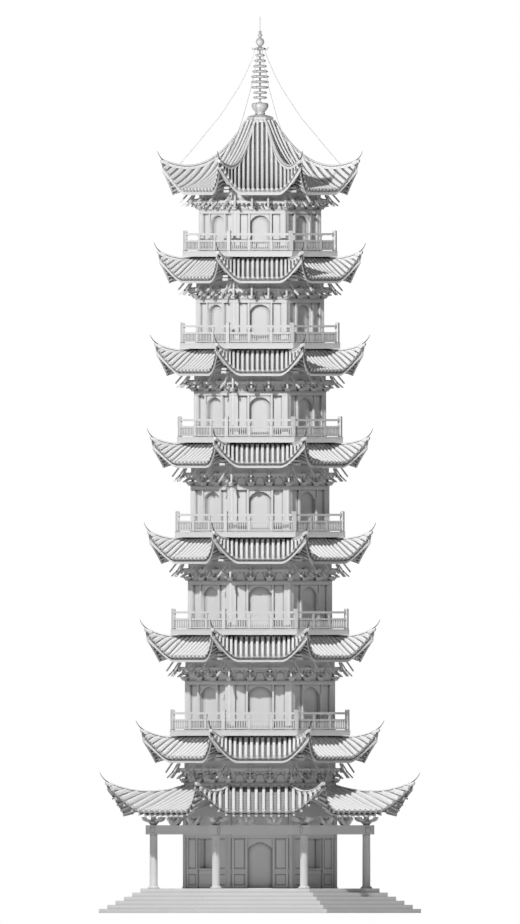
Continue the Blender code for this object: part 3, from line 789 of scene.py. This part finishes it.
def add_corner_set(shape, s):
    """The set on a corner column: arms square to both of its sides."""
    r = s.face * TO_CORNER
    room = (s.fascia - s.lintel) / 0.78
    add_cup(shape, 0.0, r, s.lintel + 0.002, 0.15, 0.17, on_corner)
    add_cup(shape, 0.0, r, s.lintel + 0.25, 0.11, 0.12, on_corner)
    for turn in (-HALF_ANGLE, HALF_ANGLE):
        def place(x, d, z, turn=turn):
            return on_corner(x * math.cos(turn) + d * math.sin(turn),
                             r - x * math.sin(turn) + d * math.cos(turn), z)
        for (d0, z0), (d1, z1) in (((-0.05, 0.44), (0.317, 0.165)), ((0.28, 0.76), (0.50, 0.42)),
                                   ((0.47, 0.455), (0.74, 0.195))):
            add_lever(shape, 0.0, (d0, s.lintel + z0 * room), (d1, s.lintel + z1 * room), 0.075,
                      place, 0.08)


def add_ring_beam(shape, d, z):
    plan_in = [(-d[0] * TAN_HALF, d[0]), (d[0] * TAN_HALF, d[0])]
    plan_out = [(d[1] * TAN_HALF, d[1]), (-d[1] * TAN_HALF, d[1])]
    plan = plan_in + plan_out
    shape.prism([on_face(x, y, z[0]) for x, y in plan], [on_face(x, y, z[1]) for x, y in plan])


def make_brackets(index):
    s = STOREYS[index - 1]
    shape = Shape()
    low = s.lintel - 0.18
    add_ring_beam(shape, (s.wall - 0.02, s.wall + 0.062), (low, s.lintel))
    add_ring_beam(shape, (s.wall - 0.01, s.wall + 0.09), (s.lintel - 0.022, s.lintel + 0.002))
    top = s.lintel
    for x in (-0.1315 * s.face, 0.1315 * s.face):
        add_set(shape, s, x)
    add_corner_set(shape, s)
    add_ring_beam(shape, (s.wall - 0.01, s.wall + 0.045), (s.fascia - 0.23, s.fascia + 0.12))
    add_ring_beam(shape, (s.face + 0.25, s.face + 0.34), (s.fascia - 0.352, s.fascia - 0.235))
    reach = (s.face + 0.27) * TAN_HALF
    spots = int(reach / 0.2)
    for k in range(-spots, spots + 1):
        add_cup(shape, k * 0.2, s.face + 0.30, s.fascia - 0.435, 0.042, 0.082)
    for x in (0.0, 0.27 * s.face, -0.27 * s.face):
        shape.plate([(x - 0.21, top + 0.002), (x + 0.21, top + 0.002), (x + 0.17, top + 0.14),
                     (x + 0.12, top + 0.36), (x - 0.12, top + 0.36), (x - 0.17, top + 0.14)],
                    (s.wall - 0.01, s.wall + 0.03))
        for flip in (-1, 1):
            shape.box((x + flip * 0.11 - 0.055, x + flip * 0.11 + 0.055),
                      (s.wall + 0.04, s.wall + 0.12), (top + 0.37, top + 0.45))
    shape.around().finish("bracket_sets_%d" % index, "timber", ["brackets_%d" % index])


# Balconies


def make_balustrade(index):
    s = STOREYS[index - 1]
    line = s.deck - 0.13
    reach = line * TAN_HALF
    floor = s.floor
    shape = Shape()
    r = line * TO_CORNER
    shape.box((-0.077, 0.077), (r - 0.077, r + 0.077), (floor + 0.001, floor + 0.88), on_corner)
    shape.box((-0.066, 0.066), (r - 0.066, r + 0.066), (floor + 0.88, floor + 0.90), on_corner)
    def rail(low, high, half):
        shape.prism([on_face(x, d, floor + low) for x, d in rail_plan(line, half)],
                    [on_face(x, d, floor + high) for x, d in rail_plan(line, half)])
    rail(0.690, 0.785, 0.045)
    rail(0.400, 0.480, 0.035)
    rail(0.030, 0.105, 0.035)
    inner_post = 0.484
    for x in (-inner_post, inner_post):
        shape.box((x - 0.06, x + 0.06), (line - 0.05, line + 0.05), (floor + 0.001, floor + 0.485))
        shape.plate([(x - 0.05, floor + 0.48), (x + 0.05, floor + 0.48), (x + 0.045, floor + 0.59),
                     (x + 0.10, floor + 0.692), (x - 0.10, floor + 0.692),
                     (x - 0.045, floor + 0.59)], (line - 0.035, line + 0.035))
    bays = ((-inner_post, inner_post), (inner_post, reach), (-reach, -inner_post))
    for left, right in bays:
        a = left + (0.09 if left > -reach + 0.01 else 0.12)
        b = right - (0.09 if right < reach - 0.01 else 0.12)
        count = 9
        for k in range(count):
            x = a + (b - a) * k / (count - 1)
            shape.box((x - 0.022, x + 0.022), (line - 0.02, line + 0.02),
                      (floor + 0.10, floor + 0.405))
    shape.around().finish("balustrade_%d_rails" % index, "timber", ["balustrade_%d" % index])


def rail_plan(line, half):
    inner, outer = line - half, line + half
    return [(-inner * TAN_HALF, inner), (inner * TAN_HALF, inner),
            (outer * TAN_HALF, outer), (-outer * TAN_HALF, outer)]


# Ground floor


def make_ground_trim():
    """Posts, rails, panels and the lintel on the ground wall."""
    s = STOREYS[0]
    floor = s.floor
    front = s.wall
    shape = Shape()
    def rail(x, d, z):
        shape.box(x, d, z)
    for flip in (1, -1):
        def side(a, b):
            return (a, b) if flip == 1 else (-b, -a)
        shape.box(side(0.556, 0.650), (front, front + 0.055), (floor + 0.001, 3.30))
        shape.box(side(0.640, 1.31), (front, front + 0.038), (1.71, 1.936))
        shape.box(side(0.640, 1.31), (front, front + 0.038), (floor + 0.002, 1.22))
        shape.box(side(0.715, 1.115), (front, front + 0.02), (2.00, 3.21))
        shape.box(side(0.715, 1.115), (front, front + 0.02), (1.26, 1.67))
        shape.box(side(1.13, 1.25), (front, front + 0.046), (floor + 0.001, 3.30))
    add_ring_beam(shape, (front, front + 0.060), (3.29, 3.476))
    add_engaged_column(shape, 3.39, floor + 0.001, 4.35, 0.098)
    shape.around().finish("ground_wall_frame", "timber")
    head = Shape()
    add_arch_head(head, 0.556, 2.838, 0.286, 3.29, (front - 0.055, front + 0.03))
    head.around(4).finish("ground_arch_heads", "timber")


def make_ground_diagonals():
    """Window niches' frames on the four diagonal sides."""
    s = STOREYS[0]
    shape = Shape()
    for x in (-0.52, 0.47):
        shape.box((x, x + 0.05), (s.wall - 0.05, s.wall + 0.03), (1.95, 3.27))
    shape.box((-0.52, 0.52), (s.wall - 0.05, s.wall + 0.03), (3.25, 3.30))
    shape.box((-0.53, 0.53), (s.wall - 0.05, s.wall + 0.05), (1.90, 1.962))
    shape.box((-0.45, 0.45), (s.wall, s.wall + 0.02), (1.26, 1.67))
    shape.points = [turned(p, 2 * HALF_ANGLE) for p in shape.points]
    shape.around(4).finish("ground_niche_frames", "timber")


def make_gallery():
    """Columns, beam and bracket sets under the skirt roof."""
    half, floor = 4.68, STOREYS[0].floor
    r = half * TO_CORNER
    columns = Shape()
    columns.turn((0.0, r), [(0.262, floor + 0.001), (0.262, floor + 0.035), (0.235, floor + 0.065),
                            (0.185, floor + 0.10), (0.177, floor + 0.16), (0.175, 2.2),
                            (0.168, 3.455)], count=24, place=on_corner)
    columns.around().finish("gallery_columns", "timber",
                            ["gallery_column_%d" % i for i in range(1, 9)])
    beam = Shape()
    low, high = 3.455, 3.863
    add_ring_beam(beam, (half - 0.11, half + 0.11), (low, high))
    beam.box((-0.17, 0.17), (r - 0.19, r + 0.31), (low, high), on_corner)
    beam.box((-0.19, 0.19), (r - 0.19, r + 0.24), (low + 0.10, high - 0.12), on_corner)
    top = high
    for x in (-0.616, 0.616):
        add_bowl_bracket(beam, x, half, top)
    add_column_bracket(beam, r, top)
    beam.around().finish("gallery_beam_brackets", "timber", ["gallery_beam"])


ARM = ((0.0, 0.14), (0.26, 0.14), (0.42, 0.17), (0.51, 0.23), (0.54, 0.31), (0.54, 0.36),
       (0.38, 0.36), (0.33, 0.29), (0.24, 0.25), (0.0, 0.25))


def add_bowl_bracket(shape, x, d, low):
    """Bowl-shaped bracket: a rounded bottom with arms that close over an eye."""
    half = [(0.0, 0.0), (0.17, 0.0), (0.26, 0.06), (0.32, 0.14), (0.345, 0.24), (0.345, 0.32),
            (0.25, 0.32), (0.21, 0.25), (0.12, 0.20), (0.0, 0.19)]
    for flip in (-1, 1):
        shape.plate([(x + flip * u, low + z) for u, z in half], (d - 0.09, d + 0.09))
        shape.profile([(d + flip * u * 0.86, low + z - 0.02) for u, z in ARM],
                      (x - 0.06, x + 0.06))
    shape.box((x - 0.37, x + 0.37), (d - 0.07, d + 0.07), (low + 0.315, low + 0.385))
    shape.box((x - 0.07, x + 0.07), (d - 0.065, d + 0.065), (low + 0.18, low + 0.32))


def add_column_bracket(shape, r, low):
    """Bracket set on a column: curved arms with gaps between them and the bar above."""
    add_cup(shape, 0.0, r, low, 0.17, 0.155, on_corner)
    for angle, start in ((-HALF_ANGLE, 1), (HALF_ANGLE, -1)):
        def place(x, d, z, angle=angle):
            c, s = math.cos(angle), math.sin(angle)
            return on_corner(x * c, r - x * s + d, z)
        shape.plate([(-start * u, low + z) for u, z in ARM], (-0.07, 0.07), place)
    for flip in (-1, 1):
        shape.profile([(r + flip * u, low + z) for u, z in ARM], (-0.075, 0.075), on_corner)
    shape.box((-0.09, 0.09), (r - 0.09, r + 0.09), (low + 0.15, low + 0.385), on_corner)


def make_leaves():
    """Ground-floor doors with frames and panels, each on its own leaf body."""
    s = STOREYS[0]
    front = s.wall - 0.12
    names = ("front", "right", "back", "left")
    for quarter, name in enumerate(names):
        shape = Shape()
        low, high = s.floor + 0.012, 3.168
        shape.box((-0.573, 0.573), (front - 0.048, front - 0.006), (low, high))
        for a, b in ((-0.573, -0.535), (0.535, 0.573)):
            shape.box((a, b), (front - 0.02, front), (low, high))
        shape.box((-0.54, 0.54), (front - 0.02, front - 0.001), (low, low + 0.07))
        shape.points = [turned(p, math.pi / 2 * quarter) for p in shape.points]
        shape.finish("leaf_%s_panelled" % name, "board", ["door_" + name],
                     body="door_%s_leaf" % name)


# Decks


def make_deck_trim():
    """Thin mouldings under the balcony edges."""
    for index in range(2, 8):
        s = STOREYS[index - 1]
        shape = Shape()
        add_ring_beam(shape, (s.deck - 0.10, s.deck + 0.006), (s.floor - 0.045, s.floor + 0.001))
        shape.around().finish("deck_%d_edge" % index, "timber")


# Spire


def make_spire():
    low = 34.8703
    shape = Shape()
    eight = []
    for half, z in ((0.59, low), (0.60, low + 0.10), (0.57, low + 0.155), (0.43, low + 0.21),
                    (0.26, low + 0.245), (0.21, low + 0.27)):
        r = half * TO_CORNER
        eight.append([turned((0.0, -r, z), HALF_ANGLE * (2 * k + 1)) for k in range(8)])
    shape.loft(eight)
    def z_at(y):
        return (913 - y) * 0.044
    round_part = [(0.21, z_at(114.8)), (0.225, z_at(113.6)), (0.205, z_at(112.4)),
                  (0.225, z_at(111.4)), (0.30, z_at(109.6)), (0.355, z_at(107.6)),
                  (0.375, z_at(105.8)), (0.36, z_at(104.2)), (0.33, z_at(103.2)),
                  (0.30, z_at(102.9)), (0.10, z_at(102.5)), (0.06, z_at(102.0)),
                  (0.042, z_at(101.6)), (0.042, 37.98)]
    shape.turn((0.0, 0.0), round_part, count=28)
    levels = (35.88, 36.10, 36.33, 36.57, 36.80, 37.03, 37.26, 37.50, 37.74)
    radii = (0.308, 0.308, 0.383, 0.40, 0.396, 0.352, 0.30, 0.26, 0.211)
    for z, radius in zip(levels, radii):
        bead = [(0.04, z - 0.055), (radius * 0.72, z - 0.060), (radius * 0.93, z - 0.042),
                (radius, z - 0.010), (radius * 0.97, z + 0.022), (radius * 0.82, z + 0.048),
                (radius * 0.45, z + 0.064), (0.04, z + 0.066)]
        shape.turn((0.0, 0.0), bead, count=28)
    shape.finish("spire_cast", "metal", ["spire"])


def make_crown():
    """Crown with hooks, pearl, needle, and the eight stays down to the hips."""
    def z_at(y):
        return (913 - y) * 0.044
    shape = Shape()
    low = 37.9503
    shape.turn((0.0, 0.0), [(0.05, low), (0.13, low + 0.01), (0.24, low + 0.05), (0.26, low + 0.09),
                            (0.22, low + 0.12), (0.10, low + 0.14), (0.066, low + 0.16),
                            (0.066, z_at(46.4)), (0.085, z_at(46.0)), (0.15, z_at(44.6)),
                            (0.185, z_at(42.8)), (0.19, z_at(41.6)), (0.165, z_at(39.8)),
                            (0.105, z_at(38.4)), (0.05, z_at(37.6)), (0.045, z_at(37.0)),
                            (0.085, z_at(36.4)), (0.11, z_at(35.4)), (0.10, z_at(34.4)),
                            (0.045, z_at(33.7)), (0.04, z_at(33.3)), (0.065, z_at(32.8)),
                            (0.078, z_at(32.1)), (0.06, z_at(31.3)), (0.028, z_at(30.8)),
                            (0.022, z_at(29.0)), (0.018, 39.40), (0.006, 39.468)], count=24)
    hook = Shape()
    path = [(0.0, 0.20, low + 0.06), (0.0, 0.28, low + 0.045), (0.0, 0.345, low + 0.06),
            (0.0, 0.385, low + 0.11), (0.0, 0.395, low + 0.165)]
    hook.tube([on_corner(*p) for p in path], [0.035, 0.035, 0.032, 0.026, 0.012])
    line = ((0.235, 37.985), (0.26, 37.77), (0.612, 36.96), (0.902, 36.38), (1.302, 35.76),
            (1.778, 35.03), (2.363, 34.33), (2.873, 33.71), (3.20, 33.33), (3.52, 32.96))
    stay = [on_corner(0.0, half * TO_CORNER, z) for half, z in line]
    hook.tube(stay, 0.015, count=6)
    hook.around()
    shape.add(hook.points, hook.faces)
    shape.finish("crown_stays_cast", "metal", ["crown_and_stays"])


# Finishes for the CAD nodes that stay


def dress_nodes():
    kinds = {"stone_base": "stone"}
    kinds.update({"floor_%d" % i: "timber" for i in range(2, 8)})
    kinds.update({"wall_1_" + n: "plaster"
                  for n in ("front_right", "back_right", "back_left", "front_left", "upper")})
    for name, kind in kinds.items():
        for spot in nodes[name].material_slots:
            spot.material = FINISH[kind]


# Stage

KEY_STRENGTH = 32.0
FILL = (0.04, 0.19)


def make_stage():
    bm = bmesh.new()
    bmesh.ops.create_grid(bm, x_segments=1, y_segments=1, size=220.0)
    mesh = bpy.data.meshes.new("floor")
    bm.to_mesh(mesh)
    bm.free()
    floor = bpy.data.objects.new("floor", mesh)
    floor.location.z = -0.002
    bpy.context.scene.collection.objects.link(floor)
    mat = bpy.data.materials.new("floor_paper")
    mat.use_nodes = True
    shader = mat.node_tree.nodes["Principled BSDF"]
    shader.inputs["Base Color"].default_value = (0.66, 0.66, 0.66, 1.0)
    shader.inputs["Roughness"].default_value = 0.95
    mesh.materials.append(mat)

    scene = bpy.context.scene
    world = bpy.data.worlds.new("studio")
    world.use_nodes = True
    scene.world = world
    tree = world.node_tree
    for node in list(tree.nodes):
        tree.nodes.remove(node)
    output = tree.nodes.new("ShaderNodeOutputWorld")
    seen = tree.nodes.new("ShaderNodeBackground")
    seen.inputs["Color"].default_value = (1.0, 1.0, 1.0, 1.0)
    seen.inputs["Strength"].default_value = 1.0
    light = tree.nodes.new("ShaderNodeBackground")
    light.inputs["Color"].default_value = (1.0, 1.0, 1.0, 1.0)
    place = tree.nodes.new("ShaderNodeTexCoord")
    facing = tree.nodes.new("ShaderNodeVectorMath")
    facing.operation = "DOT_PRODUCT"
    facing.inputs[1].default_value = (-0.45, -0.85, 0.28)
    spread = tree.nodes.new("ShaderNodeMapRange")
    spread.inputs["From Min"].default_value = -1.0
    spread.inputs["To Min"].default_value, spread.inputs["To Max"].default_value = FILL
    tree.links.new(place.outputs["Generated"], facing.inputs[0])
    tree.links.new(facing.outputs["Value"], spread.inputs["Value"])
    tree.links.new(spread.outputs["Result"], light.inputs["Strength"])
    rays = tree.nodes.new("ShaderNodeLightPath")
    mix = tree.nodes.new("ShaderNodeMixShader")
    tree.links.new(rays.outputs["Is Camera Ray"], mix.inputs["Fac"])
    tree.links.new(light.outputs["Background"], mix.inputs[1])
    tree.links.new(seen.outputs["Background"], mix.inputs[2])
    tree.links.new(mix.outputs["Shader"], output.inputs["Surface"])

    lamp = bpy.data.lights.new("key", "POINT")
    lamp.energy = 1.0
    lamp.shadow_soft_size = 0.7
    lamp.use_nodes = True
    emission = lamp.node_tree.nodes["Emission"]
    even = lamp.node_tree.nodes.new("ShaderNodeLightFalloff")
    even.inputs["Strength"].default_value = KEY_STRENGTH
    lamp.node_tree.links.new(even.outputs["Constant"], emission.inputs["Strength"])
    key = bpy.data.objects.new("key", lamp)
    key.location = (-11.5, -31.0, 41.0)
    scene.collection.objects.link(key)

    lens = bpy.data.cameras.new("camera")
    lens.type = "ORTHO"
    lens.ortho_scale = 40.656
    lens.clip_end = 400.0
    camera = bpy.data.objects.new("camera", lens)
    camera.location = (0.0, -80.0, 19.844)
    camera.rotation_euler = (math.pi / 2, 0.0, 0.0)
    scene.collection.objects.link(camera)
    scene.camera = camera
    scene.view_settings.view_transform = "Standard"


def main():
    make_stage()
    dress_nodes()
    make_ring_roof("skirt_roof", SKIRT, 5.54, 0.75, 0.20, 1.9, ["skirt_roof"])
    for index in range(1, 7):
        above = STOREYS[index]
        make_ring_roof("roof_%d" % index, STOREYS[index - 1], above.floor - 0.31, 0.45, 0.24, 1.4,
                       ["roof_%d" % index])
    make_top_roof()
    for index in range(1, 8):
        make_brackets(index)
    for index in range(2, 8):
        make_upper_wall(index)
        make_balustrade(index)
    make_deck_trim()
    make_ground_trim()
    make_ground_diagonals()
    make_gallery()
    make_leaves()
    make_spire()
    make_crown()


main()
